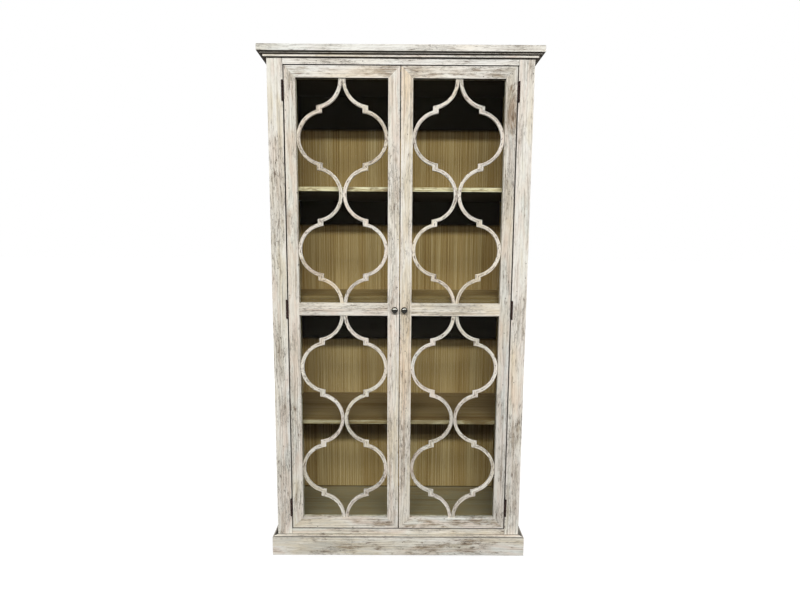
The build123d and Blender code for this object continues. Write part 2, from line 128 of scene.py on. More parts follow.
# ---- node trees
class Tree:
    """Short way to build a node tree. Inputs are sockets or plain values."""

    def __init__(self, owner):
        owner.use_nodes = True
        self.tree = owner.node_tree
        self.tree.nodes.clear()

    def add(self, kind, inputs=(), **settings):
        node = self.tree.nodes.new("ShaderNode" + kind)
        for name, value in settings.items():
            setattr(node, name, value)
        for key, value in dict(inputs).items():
            self.feed(node.inputs[key], value)
        return node

    def feed(self, socket, value):
        if isinstance(value, bpy.types.NodeSocket):
            self.tree.links.new(value, socket)
        elif value is not None:
            socket.default_value = value

    def math(self, operation, a, b=None, c=None, clamp=False):
        inputs = {0: a, 1: b, 2: c}
        return self.add("Math", inputs, operation=operation, use_clamp=clamp).outputs[0]

    def times(self, a, b):
        return self.math("MULTIPLY", a, b)

    def plus(self, value, *parts):
        """The value plus each part times its weight."""
        for part, weight in parts:
            value = self.math("MULTIPLY_ADD", part, weight, value)
        return value

    def vector(self, operation, a, b):
        return self.add("VectorMath", {0: a, 1: b}, operation=operation).outputs[0]

    def mix(self, amount, a, b, blend="MIX"):
        node = self.add("Mix", data_type="RGBA", blend_type=blend)
        for name, value in (("Factor_Float", amount), ("A_Color", a), ("B_Color", b)):
            self.feed(next(s for s in node.inputs if s.identifier == name), value)
        return node.outputs[2]

    def over(self, colour, *layers):
        """The colour under layers, each an amount and its red, green and blue."""
        for amount, *layer in layers:
            colour = self.mix(amount, colour, srgb(*layer))
        return colour

    def noise(self, vector, scale, detail, roughness):
        inputs = {"Vector": vector, "Scale": scale, "Detail": detail, "Roughness": roughness}
        return self.add("TexNoise", inputs).outputs[0]

    def stretch(self, vector, scale):
        """The vector with each axis scaled by its own amount."""
        return self.vector("MULTIPLY", vector, scale)

    def grained(self, vector, along, across, detail, roughness):
        """Noise drawn out along the grain, from its scales along the board and across it."""
        return self.noise(self.stretch(vector, (along, across, across)), 1.0, detail, roughness)

    def band(self, value, low, high, to_low=0.0, to_high=1.0):
        """Smooth step of a value from low to high."""
        inputs = {"Value": value, "From Min": low, "From Max": high, "To Min": to_low, "To Max": to_high}
        return self.add("MapRange", inputs, interpolation_type="SMOOTHSTEP").outputs[0]

    def ramp(self, value, *stops):
        """Colours by value, from stops of a position, red, green and blue."""
        node = self.add("ValToRGB", {"Fac": value})
        elements = node.color_ramp.elements
        while len(elements) < len(stops):
            elements.new(0.5)
        for element, (position, *colour) in zip(elements, stops):
            element.position = position
            element.color = srgb(*colour)
        return node.outputs[0]

    def attribute(self, name, output):
        return self.add("Attribute", attribute_name=name).outputs[output]


def srgb(*levels):
    """Linear colour of an 8-bit display colour."""
    shares = [level / 255 for level in levels]
    linear = [share / 12.92 if share <= 0.04045 else ((share + 0.055) / 1.055) ** 2.4 for share in shares]
    return (*linear, 1.0)


WHITE = srgb(255, 255, 255)


def material(name):
    """A new material and its node tree."""
    made = bpy.data.materials.new(name)
    return made, Tree(made)


def surface(tree, colour, roughness, height, depth, gloss=0.5, **sockets):
    """Principled surface with a bump, wired to the output."""
    bump = tree.add("Bump", {"Height": height, "Distance": depth, "Strength": 1.0})
    sockets.update({"Base Color": colour, "Roughness": roughness, "Normal": bump.outputs[0]})
    shader = tree.add("BsdfPrincipled", {"Specular IOR Level": gloss, **sockets})
    tree.add("OutputMaterial", {"Surface": shader.outputs[0]})


# ---- wood
def board_marks(tree):
    """The marks that all the timber shares, from its own grain coordinates.

    The grain attribute holds metres along the board, across it and into it. The worn
    attribute holds how near an arris is, the board's tone, and its warmth.
    """
    grain = tree.attribute("grain", "Vector")
    worn = tree.add("SeparateXYZ", {0: tree.attribute("worn", "Vector")})
    wander = tree.grained(grain, 1.6, 6.0, 3.0, 0.55)
    cells = {"Vector": tree.stretch(grain, (2.6, 8.0, 8.0)), "Scale": 1.0, "Randomness": 0.9}
    knots = tree.add("TexVoronoi", cells)
    chance = tree.add("SeparateColor", {0: knots.outputs["Color"]}).outputs[0]
    near_knot = tree.band(knots.outputs["Distance"], 0.36, 0.02)
    knot = tree.times(near_knot, tree.math("GREATER_THAN", chance, 0.60))
    ripple = tree.grained(grain, 9.0, 40.0, 3.0, 0.6)
    shift = tree.plus(tree.times(knot, 0.026), (ripple, 0.003), (wander, 0.040))
    offset = tree.add("CombineXYZ", {"X": 0.0, "Y": shift, "Z": shift}).outputs[0]
    bent = tree.vector("ADD", grain, offset)
    waves = {"Vector": tree.stretch(bent, (0.25, 1.0, 1.0)), "Scale": 27.0, "Distortion": 3.4}
    waves.update({"Detail": 3.0, "Detail Scale": 2.2, "Detail Roughness": 0.6})
    shape = {"wave_type": "RINGS", "rings_direction": "X", "wave_profile": "SAW"}
    rings = tree.add("TexWave", waves, **shape)
    cracks = tree.grained(bent, 11.0, 90.0, 5.0, 0.66)
    return SimpleNamespace(
        grain=grain,
        edge=worn.outputs[0],
        tone=worn.outputs[1],
        warmth=worn.outputs[2],
        # Painted shade of gaps, corners and shadowed zones, with one stile's real dirt, from 0 to 1.
        shade_and_dirt=tree.attribute("shade_and_dirt", "Fac"),
        knot=knot,
        rings=rings.outputs["Fac"],
        fibres=tree.grained(bent, 14.0, 700.0, 3.0, 0.62),
        streaks=tree.grained(bent, 2.6, 190.0, 2.0, 0.55),
        flecks=tree.grained(bent, 26.0, 150.0, 3.0, 0.62),
        bands=tree.grained(bent, 2.2, 13.0, 3.0, 0.6),
        mottle=tree.grained(bent, 15.0, 42.0, 8.0, 0.74),
        patches=tree.grained(grain, 4.2, 11.0, 4.0, 0.6),
        specks=tree.grained(grain, 60.0, 210.0, 2.0, 0.5),
        tint=tree.grained(grain, 1.5, 6.0, 3.0, 0.55),
        crack=tree.band(tree.math("ABSOLUTE", tree.math("SUBTRACT", cracks, 0.5)), 0.020, 0.0),
    )


NAIL_CELLS = np.array((9.0, 26.0))  # cells in a metre along the grain and across it
NAIL_RADII = (2.6 * MM, 1.2 * MM)


def nail_holes(tree, marks):
    """Scattered small dark holes of old nails, as a mask."""
    scaled = tree.stretch(marks.grain, (*NAIL_CELLS, 0.0))
    cells = tree.add("TexVoronoi", {"Vector": scaled, "Scale": 1.0, "Randomness": 1.0})
    chance = tree.add("SeparateColor", {0: cells.outputs["Color"]}).outputs[1]
    away = tree.vector("SUBTRACT", scaled, cells.outputs["Position"])
    away = tree.stretch(away, (*1 / NAIL_CELLS, 0.0))
    distance = tree.add("VectorMath", {0: away}, operation="LENGTH").outputs["Value"]
    return tree.times(tree.band(distance, *NAIL_RADII), tree.math("GREATER_THAN", chance, 0.80))


def painted_underside_shade(tree, amount):
    """A mask of what faces down, where shade is painted."""
    normal = tree.add("NewGeometry").outputs["Normal"]
    height = tree.add("SeparateXYZ", {0: normal}).outputs["Z"]
    return tree.band(height, -0.3, -0.9, 0.0, amount)


COVER_LEVEL = 1.80  # above it the wash still covers the wood


def limed_pine(name, cover_shift=0.0, down_shade=0.92, speckled=0.12, softness=0.38):
    """Old pine under a brushed lime wash that has worn off along the grain.

    down_shade is how much painted shade darkens what faces down, speckled how dark its
    specks are, and softness how gradually the wash gives way to the bare wood.
    """
    made, tree = material(name)
    marks = board_marks(tree)
    raw = tree.ramp(
        marks.rings,
        (0.0, 189, 174, 152),
        (0.55, 168, 155, 136),
        (0.88, 122, 109, 95),
        (1.0, 158, 145, 126),
    )
    wash = tree.ramp(
        marks.bands,
        (0.30, 212, 209, 200),
        (0.40, 230, 221, 202),
        (0.48, 242, 239, 231),
        (0.56, 232, 219, 207),
        (0.64, 235, 236, 231),
    )
    wash = tree.over(
        wash,
        (marks.warmth, 222, 200, 170),
        (tree.math("MULTIPLY", marks.warmth, -1.0, clamp=True), 246, 247, 244),
        (tree.band(marks.patches, 0.58, 0.36, 0.0, 0.42), 186, 178, 164),
    )
    arris = tree.times(marks.edge, tree.band(marks.specks, 0.30, 0.55))
    cover = tree.plus(
        tree.math("ADD", marks.tone, cover_shift),
        (marks.mottle, 2.0),
        (marks.flecks, 0.5),
        (marks.fibres, 0.3),
        (marks.patches, 1.5),
        (marks.knot, -0.3),
        (arris, 0.7),
    )
    cover = tree.band(cover, COVER_LEVEL - softness, COVER_LEVEL + softness)
    rings = tree.band(cover, 1.0, 0.3, 0.22, 0.75)
    rings = tree.times(tree.band(marks.rings, 0.62, 0.98), rings)
    flecks = tree.band(marks.patches, 0.64, 0.42, 0.15, 0.9)
    flecks = tree.times(tree.band(marks.flecks, 0.42, 0.30), flecks)
    colour = tree.over(
        tree.mix(cover, raw, wash),
        (rings, 134, 114, 96),
        (tree.band(marks.streaks, 0.52, 0.66, 0.0, 0.5), 246, 243, 236),
        (tree.band(marks.streaks, 0.48, 0.34, 0.0, 0.4), 138, 124, 110),
        (flecks, 104, 88, 76),
    )
    tint = tree.ramp(
        marks.tint,
        (0.34, 248, 247, 240),
        (0.46, 255, 255, 253),
        (0.56, 255, 252, 246),
        (0.68, 253, 242, 226),
    )
    colour = tree.mix(1.0, colour, tint, "MULTIPLY")
    colour = tree.over(colour, (tree.times(arris, 0.55), 244, 240, 230))
    heart = tree.ramp(
        marks.knot,
        (0.25, 188, 168, 140),
        (0.55, 96, 82, 68),
        (0.72, 150, 114, 78),
        (1.0, 110, 82, 58),
    )
    colour = tree.mix(tree.band(marks.knot, 0.30, 0.62, 0.0, 0.34), colour, heart)
    cracked = tree.times(marks.crack, tree.band(marks.patches, 0.56, 0.42, 0.08, 0.8))
    holes = nail_holes(tree, marks)
    # Painted shade in gaps and in the corners of mouldings, and one stile's grey veil of dirt, broken up by
    # the mottle.
    darkening = tree.times(marks.shade_and_dirt, tree.band(marks.mottle, 0.30, 0.62, 1.0, 0.82))
    colour = tree.over(
        colour,
        (cracked, 94, 84, 74),
        (tree.band(marks.fibres, 0.42, 0.28, 0.0, 0.35), 118, 108, 98),
        (tree.band(marks.specks, 0.43, 0.33, 0.0, speckled), 108, 92, 82),
        (tree.times(holes, 0.85), 58, 48, 40),
        (darkening, 24, 20, 16),
        # Painted shade: what faces down is darkened to a deep brown.
        (painted_underside_shade(tree, down_shade), 44, 36, 29),
    )
    roughness = tree.band(cover, 0.0, 1.0, 0.62, 0.86)
    height = tree.plus(marks.fibres, (marks.streaks, 0.8), (cracked, -0.8), (holes, -2.0))
    surface(tree, colour, roughness, height, 0.5 * MM, 0.2)
    return made


def inside_pine(name, dust=0.0):
    """Bare pine of the interior, gone olive-brown, with fine straight grain, under some dust."""
    made, tree = material(name)
    marks = board_marks(tree)
    straight = tree.grained(marks.grain, 1.2, 190.0, 3.0, 0.6)
    broad = tree.grained(marks.grain, 0.5, 15.0, 2.0, 0.5)
    colour = tree.ramp(
        straight,
        (0.28, 138, 111, 72),
        (0.45, 177, 151, 106),
        (0.56, 195, 170, 125),
        (0.72, 218, 198, 158),
    )
    colour = tree.mix(tree.band(broad, 0.36, 0.66), colour, srgb(232, 224, 208), "MULTIPLY")
    plain = tree.band(marks.tone, -1.0, -0.5)
    colour = tree.over(
        colour,
        (tree.times(marks.rings, 0.14), 112, 88, 54),
        (tree.band(marks.fibres, 0.42, 0.28, 0.0, 0.7), 96, 76, 46),
        (tree.times(tree.band(marks.knot, 0.45, 0.95), plain), 84, 60, 36),
        (marks.warmth, 96, 74, 48),
    )
    if dust:
        settled = tree.plus(marks.mottle, (straight, 1.2))
        settled = tree.band(settled, 0.85, 1.3, 0.35 * dust, dust)
        colour = tree.over(colour, (settled, 150, 148, 130))
    # Painted shade: what faces down, and the painted shadows and shaded corners in the shade_and_dirt marks,
    # go nearly black.
    colour = tree.over(colour, (painted_underside_shade(tree, 0.97), 19, 15, 10), (marks.shade_and_dirt, 15, 12, 9))
    roughness = tree.band(straight, 0.3, 0.7, 0.72, 0.6)
    height = tree.plus(marks.fibres, (straight, 0.6))
    surface(tree, colour, roughness, height, 0.35 * MM, 0.12)
    return made


def lipped_pine(name):
    """Light, thinly limed pine of the shelves' front edges."""
    made, tree = material(name)
    marks = board_marks(tree)
    colour = tree.ramp(
        marks.streaks,
        (0.32, 150, 122, 82),
        (0.46, 224, 208, 170),
        (0.60, 246, 236, 208),
    )
    colour = tree.over(
        colour,
        (tree.band(marks.fibres, 0.40, 0.28), 120, 98, 66),
        (tree.band(marks.mottle, 0.50, 0.38, 0.0, 0.75), 150, 124, 88),
        (tree.band(marks.patches, 0.46, 0.34, 0.0, 0.6), 128, 100, 66),
        (tree.band(marks.knot, 0.4, 0.95), 96, 70, 44),
        (marks.warmth, 112, 96, 66),
    )
    height = tree.plus(marks.fibres, (marks.streaks, 0.6))
    roughness = tree.band(marks.fibres, 0.3, 0.7, 0.8, 0.66)
    surface(tree, colour, roughness, height, 0.4 * MM, 0.2)
    return made


# ---- worn boards
WELD = 0.001 * MM
FLAT = math.radians(0.4)
SHARP = math.radians(25)
SMOOTH = math.radians(34)
BEVELLED = math.radians(40)
MITRED = 0.97  # largest part of a normal along an axis, under which the face is a mitre's
SLICE_SNAP = 0.02 * MM
SHORTEST_ARRIS = 12 * MM
FILLET_CUTS = (0.25, 0.55, 0.9, 1.3, 1.9)  # in radii from an arris
SLICE_MARGIN = 2.2  # in radii from the ends of a board
EDGE_REACH = 7 * MM
CRISP = 0.5  # share of an arris's radius where it borders a gap
TIGHT = 0.3  # share of it where the arris meets another piece
SWELL, SWELL_ALONG, SWELL_ACROSS = 0.45, 170 * MM, 60 * MM
NICK, NICK_SIZE = 0.4, 14 * MM
RELIEF, DIP_ALONG, DIP_ACROSS = 0.25 * MM, 120 * MM, 9 * MM
PLAIN_LOOK = {"tone": 0.0, "warmth": 0.0, "steps": (30 * MM, 8 * MM), "radius": 1.6 * MM}
PANEL_STEPS = (90 * MM, 45 * MM)
PLINTH_ARRIS, SLIM_ARRIS = 1.8 * MM, 1.2 * MM
GRAIN_LIFT = np.array([3.7, 1.9, 0.63])  # from one board's place in the grain to the next one's
BAND_FADE = 0.4 * MM
PAINTED_SHADOW_FADE = 12 * MM
GAP_LINE = 0.7 * MM
GAP_START, GAP_FADE = 0.3 * MM, 1 * MM  # painted shade in a gap, from the front of a board
SIDE_REACH = 0.1 * MM

# Darkening over a stretch of an axis, which fades out beyond it: painted shade in corners, gaps and under
# shelves, and on one stile a grey veil of dirt. side keeps it to one face, such as "-Y".
Band = namedtuple("Band", "axis low high amount fade side", defaults=(BAND_FADE, None))


def unit(axis):
    """Unit vector along an axis."""
    return Vector([float(axis == i) for i in range(3)])


def solid_of(node):
    """A CAD node's solid, with each flat face whole again."""
    bm = bmesh.new()
    bm.from_mesh(frame["nodes"][node].data)
    bmesh.ops.remove_doubles(bm, verts=bm.verts, dist=WELD)
    bmesh.ops.dissolve_limit(bm, angle_limit=FLAT, verts=bm.verts, edges=bm.edges)
    bm.normal_update()
    return bm


def arrises(bm):
    """Each long convex edge: a start, a direction, a length and the two faces' normals."""
    found = []
    for edge in bm.edges:
        if len(edge.link_faces) != 2 or edge.calc_length() < SHORTEST_ARRIS:
            continue
        if edge.calc_face_angle_signed(0) > SHARP:
            start, end = (np.array(v.co, float) for v in edge.verts)
            length = np.linalg.norm(end - start)
            normals = [np.array(face.normal, float) for face in edge.link_faces]
            found.append((start, (end - start) / length, length, *normals))
    return found


def faces_of(edges):
    """The planes beside the arrises, as (normal, distance), each once."""
    planes = {}
    for start, _, _, first, second in edges:
        for normal in (first, second):
            distance = float(start @ normal)
            planes[tuple(np.round((*normal, distance), 4))] = (normal, distance)
    return list(planes.values())


def slice_at(bm, point, normal):
    """Cut the mesh along a plane, and keep both sides."""
    everything = bm.verts[:] + bm.edges[:] + bm.faces[:]
    bmesh.ops.bisect_plane(bm, geom=everything, dist=SLICE_SNAP, plane_co=point, plane_no=normal)


def slice_evenly(bm, axis, step, margin):
    """Cut the mesh across an axis at about a step, keeping clear of its ends."""
    values = [v.co[axis] for v in bm.verts]
    low, high = min(values) + margin, max(values) - margin
    count = max(0, int((high - low) / step))
    normal = unit(axis)
    for index in range(count + 1 if count else 0):
        slice_at(bm, normal * (low + (high - low) * index / count), normal)


def round_arris(points, arris, radius):
    """Move the points that lie on an arris onto a fillet of a radius given for each point."""
    start, along, length, first, second = arris
    away = points - start
    run = away @ along
    flat = away - np.outer(run, along)
    cosine = first @ second
    centre = -(first + second) / (1 + cosine)
    out = flat - centre * radius[:, None]
    on_first = (out @ first - cosine * (out @ second)) / (1 - cosine**2)
    on_second = (out @ second - cosine * (out @ first)) / (1 - cosine**2)
    depth = np.maximum(-(flat @ first), -(flat @ second))
    there = (on_first > 0) & (on_second > 0) & (depth < radius) & (run > -radius) & (run < length + radius)
    reach = np.linalg.norm(out, axis=1)
    moved = points + out * (radius / np.maximum(reach, 1e-9) - 1)[:, None]
    return np.where(there[:, None], moved, points)


def nearness(points, edges, reach):
    """1 on an arris, fading to 0 at a reach from it."""
    nearest = np.full(len(points), reach)
    for start, along, length, _, _ in edges:
        away = points - start
        run = np.clip(away @ along, 0, length)
        nearest = np.minimum(nearest, np.linalg.norm(away - np.outer(run, along), axis=1))
    return 1 - nearest / reach


def side_name(normal):
    """The axis that a face looks along, such as "+X"."""
    axis = int(np.argmax(np.abs(normal)))
    return ("+" if normal[axis] > 0 else "-") + "XYZ"[axis]


def is_joint(normal, joints):
    """True if a face lies against another piece: a mitre, or an axis named in joints."""
    return np.abs(normal).max() < MITRED or side_name(normal) in joints


def worn_mesh(bm, grain, steps, radius, joints, gaps, bands, seed):
    """Give a solid worn arrises and a slightly uneven face. All of it lies inside the solid.

    grain is the axis that the fibres follow. steps are the mesh's steps along the grain
    and across it. joints are the sides that meet another piece, such as "+X": their
    arrises and faces stay nearly sharp, and so do those of mitres. gaps are the sides on
    a narrow gap, with crisper arrises. The mesh has edges at the limits of the bands.
    """
    edges = arrises(bm)
    for normal, distance in faces_of(edges):
        for share in FILLET_CUTS:
            slice_at(bm, Vector(normal * (distance - share * radius)), Vector(normal))
    for axis in range(3):
        step = steps[0] if axis == grain else steps[1]
        slice_evenly(bm, axis, step, SLICE_MARGIN * radius)
    for band in bands:
        normal = unit(band.axis)
        for value in (band.low - band.fade, band.low, band.high, band.high + band.fade):
            slice_at(bm, normal * value, normal)
    bm.verts.ensure_lookup_table()
    points = np.array([v.co for v in bm.verts], float)
    original = points.copy()
    sizes = [SWELL_ACROSS] * 3
    sizes[grain] = SWELL_ALONG
    unevenness = noise(points, sizes, seed)
    nicks = noise(points, [NICK_SIZE] * 3, seed + 1)
    for arris in edges:
        tight = any(is_joint(normal, joints) for normal in arris[3:5])
        worn = TIGHT if tight else 1 + SWELL * unevenness + NICK * np.maximum(nicks, 0) ** 2
        if any(side_name(normal) in gaps for normal in arris[3:5]):
            worn = worn * CRISP
        points = round_arris(points, arris, radius * worn * np.ones(len(points)))
    bm.normal_update()
    normals = np.array([v.normal for v in bm.verts], float)
    free = 1 - np.array([is_joint(normal, joints) for normal in normals], float)
    fine = [DIP_ACROSS] * 3
    fine[grain] = DIP_ALONG
    dip = 0.5 + 0.25 * unevenness + 0.25 * noise(points, fine, seed + 2)
    points -= normals * (RELIEF * dip * free)[:, None]
    for vertex, point in zip(bm.verts, points):
        vertex.co = point
    free_edges = [edge for edge in edges if not any(is_joint(normal, joints) for normal in edge[3:5])]
    return original, nearness(original, free_edges, EDGE_REACH)


def set_marks(mesh, points, edge, grain, across, seed, tone=0.0, warmth=0.0, shade_and_dirt=0.0):
    """Write the grain coordinates, the wear, and the painted shade and dirt that the timber materials read.
    """
    into = 3 - grain - across
    coordinates = points[:, [grain, across, into]] + GRAIN_LIFT * (seed + 1)
    finish = np.stack([edge, np.full(len(edge), tone), np.full(len(edge), warmth)], axis=1)
    for name, values in (("grain", coordinates), ("worn", finish)):
        marks = mesh.attributes.new(name, "FLOAT_VECTOR", "POINT")
        marks.data.foreach_set("vector", values.astype(np.float32).ravel())
    marks = mesh.attributes.new("shade_and_dirt", "FLOAT", "POINT")
    marks.data.foreach_set("value", (np.zeros(len(edge)) + shade_and_dirt).astype(np.float32))


def on_side(points, side):
    """True for the points on the face that looks along a side, such as "+X"."""
    values = points[:, "XYZ".index(side[1])]
    face = values.max() if side[0] == "+" else values.min()
    return np.abs(values - face) < SIDE_REACH


def painted_shade_and_dirt(points, dark_sides, dark_bands):
    """Painted shade and dirt from 0 to 1: painted shade on sides that a gap hides, and bands of painted
    shade, with one stile's grey veil of dirt.
    """
    shade_and_dirt = np.zeros(len(points))
    behind = np.clip((points[:, Y] - points[:, Y].min() - GAP_START) / GAP_FADE, 0, 1)
    for side in dark_sides:
        shade_and_dirt = np.where(on_side(points, side), np.maximum(shade_and_dirt, behind), shade_and_dirt)
    for band in dark_bands:
        values = points[:, band.axis]
        outside = np.maximum(band.low - values, values - band.high)
        amount = band.amount * np.clip(1 - outside / band.fade, 0, 1)
        if band.side:
            amount = amount * on_side(points, band.side)
        shade_and_dirt = np.maximum(shade_and_dirt, amount)
    return shade_and_dirt


def placed(name, data):
    """A new object in the scene."""
    made = bpy.data.objects.new(name, data)
    bpy.context.scene.collection.objects.link(made)
    return made


def add_piece(suffix, bm, node, slot, *materials):
    """Show a mesh in place of a CAD node, on the node's own body. The bmesh is freed."""
    name = node + suffix
    mesh = bpy.data.meshes.new(name)
    bm.to_mesh(mesh)
    bm.free()
    piece = placed(name, mesh)
    for finish in materials:
        mesh.materials.append(finishes[finish])
    mesh.shade_smooth()
    mesh.set_sharp_from_angle(angle=SMOOTH)
    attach(piece, frame["nodes"][node]["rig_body"])
    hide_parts(node)
    return piece


LIMED, WEATHERED, INSIDE = "limed_wood", "weathered_wood", "inside_wood"
SLOT_OF = {"dusty_wood": INSIDE, WEATHERED: LIMED}
boards = []


def board(node, finish, grain, across, joints=(), dark_sides=(), dark_bands=(), lining=None):
    """Worn board in place of a CAD node, in a named finish.

    lining is a second finish and the side that shows it, such as ("inside_wood", "-X").
    The board's own look may set its tone and warmth, and the steps and radius of its mesh.
    """
    seed = len(boards)
    look = {**PLAIN_LOOK, **LOOKS.get(node, {})}
    bm = solid_of(node)
    shape = (look["steps"], look["radius"], joints, dark_sides, dark_bands, seed)
    original, edge = worn_mesh(bm, grain, *shape)
    names = [finish, lining[0]] if lining else [finish]
    piece = add_piece("_worn", bm, node, SLOT_OF.get(finish, finish), *names)
    shade_and_dirt = painted_shade_and_dirt(original, dark_sides, dark_bands)
    set_marks(piece.data, original, edge, grain, across, seed, look["tone"], look["warmth"], shade_and_dirt)
    if lining:
        axis = "XYZ".index(lining[1][1])
        sign = 1 if lining[1][0] == "+" else -1
        for face in piece.data.polygons:
            face.material_index = int(sign * face.normal[axis] > 0.5)
    boards.append(piece)


def gap_shade_line(node, side, amount):
    """Painted shade on the arris beside a gap."""
    axis = "XYZ".index(side[1])
    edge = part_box(node)[int(side[0] == "+")][axis]
    return Band(axis, edge - GAP_LINE, edge + GAP_LINE, amount)


def shadow_line(edge_y, edge_z):
    """Height where an edge's shadow from the lower lamp ends on the back panel."""
    _, lamp_y, lamp_z = LAMPS["strip_low"][0]
    slope = (lamp_z - edge_z) / (edge_y - lamp_y)
    return edge_z - (back_y - edge_y) * slope


def painted_shadow_band(top, edge_y, edge_z, amount):
    """Painted shadow under a height, down to the shadow line of an edge."""
    return Band(Z, shadow_line(edge_y, edge_z) + PAINTED_SHADOW_FADE, top, amount, PAINTED_SHADOW_FADE)


def corner_shade(top, deep, shallow, amount):
    """Painted shade in a corner of a moulding, between two depths under its top."""
    return Band(Z, top - deep, top - shallow, amount)


# Painted shade in the corners of the mouldings: two depths under the top of the moulding, and an amount.
PLINTH_STEP = (3.9 * MM, 1.4 * MM, 0.85)
RAIL_FOOT = (4 * MM, -1.2 * MM, 0.8)
CROWN_FILLET = (3.8 * MM, 0.0, 0.35)
CROWN_CORNER = (1.6 * MM, -1.0 * MM, 0.5)
FLOOR_CORNER, FLOOR_CORNER_SHADE, FLOOR_CORNER_FADE = 4 * MM, 0.75, 2 * MM
# How dark the painted shadow is under each of these, how dark the painted shade is in the stile's gap, and
# how much darker the middle shelf's lip is.
PAINTED_SHADOW = {"crown": 0.95, "upper_shelf": 0.96, "middle_shelf": 0.97}
STILE_GAP_SHADE, LIP_DARKNESS = 0.9, 0.55

# Tone is more wash on a board. Warmth is its yellow, and under 0 its chalky white.
WIDE = {"steps": PANEL_STEPS}
SLIM = {"radius": SLIM_ARRIS}
LOOKS = {
    "left_face_stile": {"tone": 0.16},
    "right_face_stile": {"tone": -0.05, "warmth": -0.25},
    "top_face_rail": {"tone": 0.14, "warmth": -0.7},
    "bottom_face_rail": {"tone": 0.1},
    "plinth_front": {"tone": -0.16, "radius": PLINTH_ARRIS},
    "left_crown_side": SLIM,
    "right_crown_side": SLIM,
    "crown_front": {"tone": 0.1, **SLIM},
    "cornice_top_board": {"tone": 0.32, "warmth": -0.8, **SLIM},
    "left_side_panel": WIDE,
    "right_side_panel": WIDE,
    "floor_panel": WIDE,
    "ceiling_panel": WIDE,
    "upper_shelf": WIDE,
    "back_panel": {"tone": -1.0, **WIDE},
    "middle_shelf": {"warmth": 0.1, **WIDE},
    "lower_shelf": {"warmth": 0.6, **WIDE},
    "left_door_meeting_stile": {"tone": 0.08},
    "left_door_hinge_stile": {"tone": -0.05, "warmth": 0.1},
    "left_door_top_rail": {"tone": -0.3, "warmth": -0.6},
    "left_door_middle_rail": {"tone": 0.5, "warmth": 0.1},
    "left_door_bottom_rail": {"tone": -0.27},
    "right_door_meeting_stile": {"tone": 0.07, "warmth": 0.12},
    "right_door_hinge_stile": {"tone": -0.02, "warmth": -0.2},
    "right_door_top_rail": {"tone": -0.2, "warmth": -0.6},
    "right_door_middle_rail": {"tone": 0.45, "warmth": 0.1},
    "right_door_bottom_rail": {"tone": -0.43},
}


def build_carcass():
    ends = ("+X", "-X")
    shelf_edge = ("lip_wood", "-Y")
    shelf_low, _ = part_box("upper_shelf")
    middle_low, middle_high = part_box("middle_shelf")
    plinth_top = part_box("plinth_front")[1].z
    crown_low, crown_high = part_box("crown_front")
    floor_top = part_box("floor_panel")[1].z
    step_line = corner_shade(plinth_top, *PLINTH_STEP)
    rail_foot = corner_shade(plinth_top, *RAIL_FOOT)
    upper_fillet = corner_shade(crown_high.z, *CROWN_FILLET)
    top_corner = corner_shade(crown_high.z, *CROWN_CORNER)
    corner_line = Band(Z, floor_top, floor_top + FLOOR_CORNER, FLOOR_CORNER_SHADE, FLOOR_CORNER_FADE)
    # The middle shelf's front lip is darker than the others.
    dark_lip = Band(Z, middle_low.z, middle_high.z, LIP_DARKNESS, side="-Y")
    upper_top, lower_top = (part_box("right_door_%s_outer_fret" % level)[1].z for level in ("upper", "lower"))
    # Painted shadows on the back panel and inner walls, under the crown and the shelves, down to the lower
    # lamp's shadow lines.
    shadows = [
        painted_shadow_band(crown_low.z, front_y, upper_top, PAINTED_SHADOW["crown"]),
        painted_shadow_band(shelf_low.z, shelf_front_y, shelf_low.z, PAINTED_SHADOW["upper_shelf"]),
        painted_shadow_band(middle_low.z, front_y, lower_top, PAINTED_SHADOW["middle_shelf"]),
    ]
    for side, sign in SIDES:
        inward = "+X" if sign < 0 else "-X"
        wall = [band._replace(side=inward) for band in shadows]
        gap = gap_shade_line(side + "_face_stile", inward, STILE_GAP_SHADE)
        board(side + "_side_panel", LIMED, Z, Y, ("-Y",), (), wall, (INSIDE, inward))
        board(side + "_face_stile", LIMED, Z, X, ("+Y",), (inward,), (rail_foot, gap))
        board(side + "_plinth_side", LIMED, Y, Z, (inward,), ("+Z",), (step_line,))
        board(side + "_crown_side", LIMED, Y, Z, (inward,), (), (top_corner,))
    board("top_face_rail", LIMED, X, Z, ends, ("-Z",))
    board("bottom_face_rail", LIMED, X, Z, ends, ("+Z",), (rail_foot,))
    board("plinth_front", WEATHERED, X, Z, ("+Y",), (), (step_line,))
    board("crown_front", LIMED, X, Z, ("+Y",), (), (upper_fillet, top_corner))
    board("cornice_top_board", LIMED, X, Y)
    board("floor_panel", "dusty_wood", X, Y)
    board("ceiling_panel", INSIDE, X, Y)
    back_shadows = [band._replace(side="-Y") for band in (*shadows, corner_line)]
    board("back_panel", INSIDE, Z, X, dark_bands=back_shadows)
    board("upper_shelf", INSIDE, X, Y, lining=shelf_edge)
    board("middle_shelf", INSIDE, X, Y, dark_bands=(dark_lip,))
    board("lower_shelf", INSIDE, X, Y, lining=shelf_edge)
    board("door_stop", INSIDE, X, Z)
    board("base_back_rail", INSIDE, X, Z)
    board("base_runner", INSIDE, Y, X)


# Painted shade in the gaps at each door's hinge, top and bottom arrises, and a grey veil of dirt all over its
# hinge stile.
DOOR_GAP_SHADE_AND_GRIME = {"left": (1.0, 0.9, 0.8, 0.0), "right": (0.8, 0.0, 0.3, 0.14)}


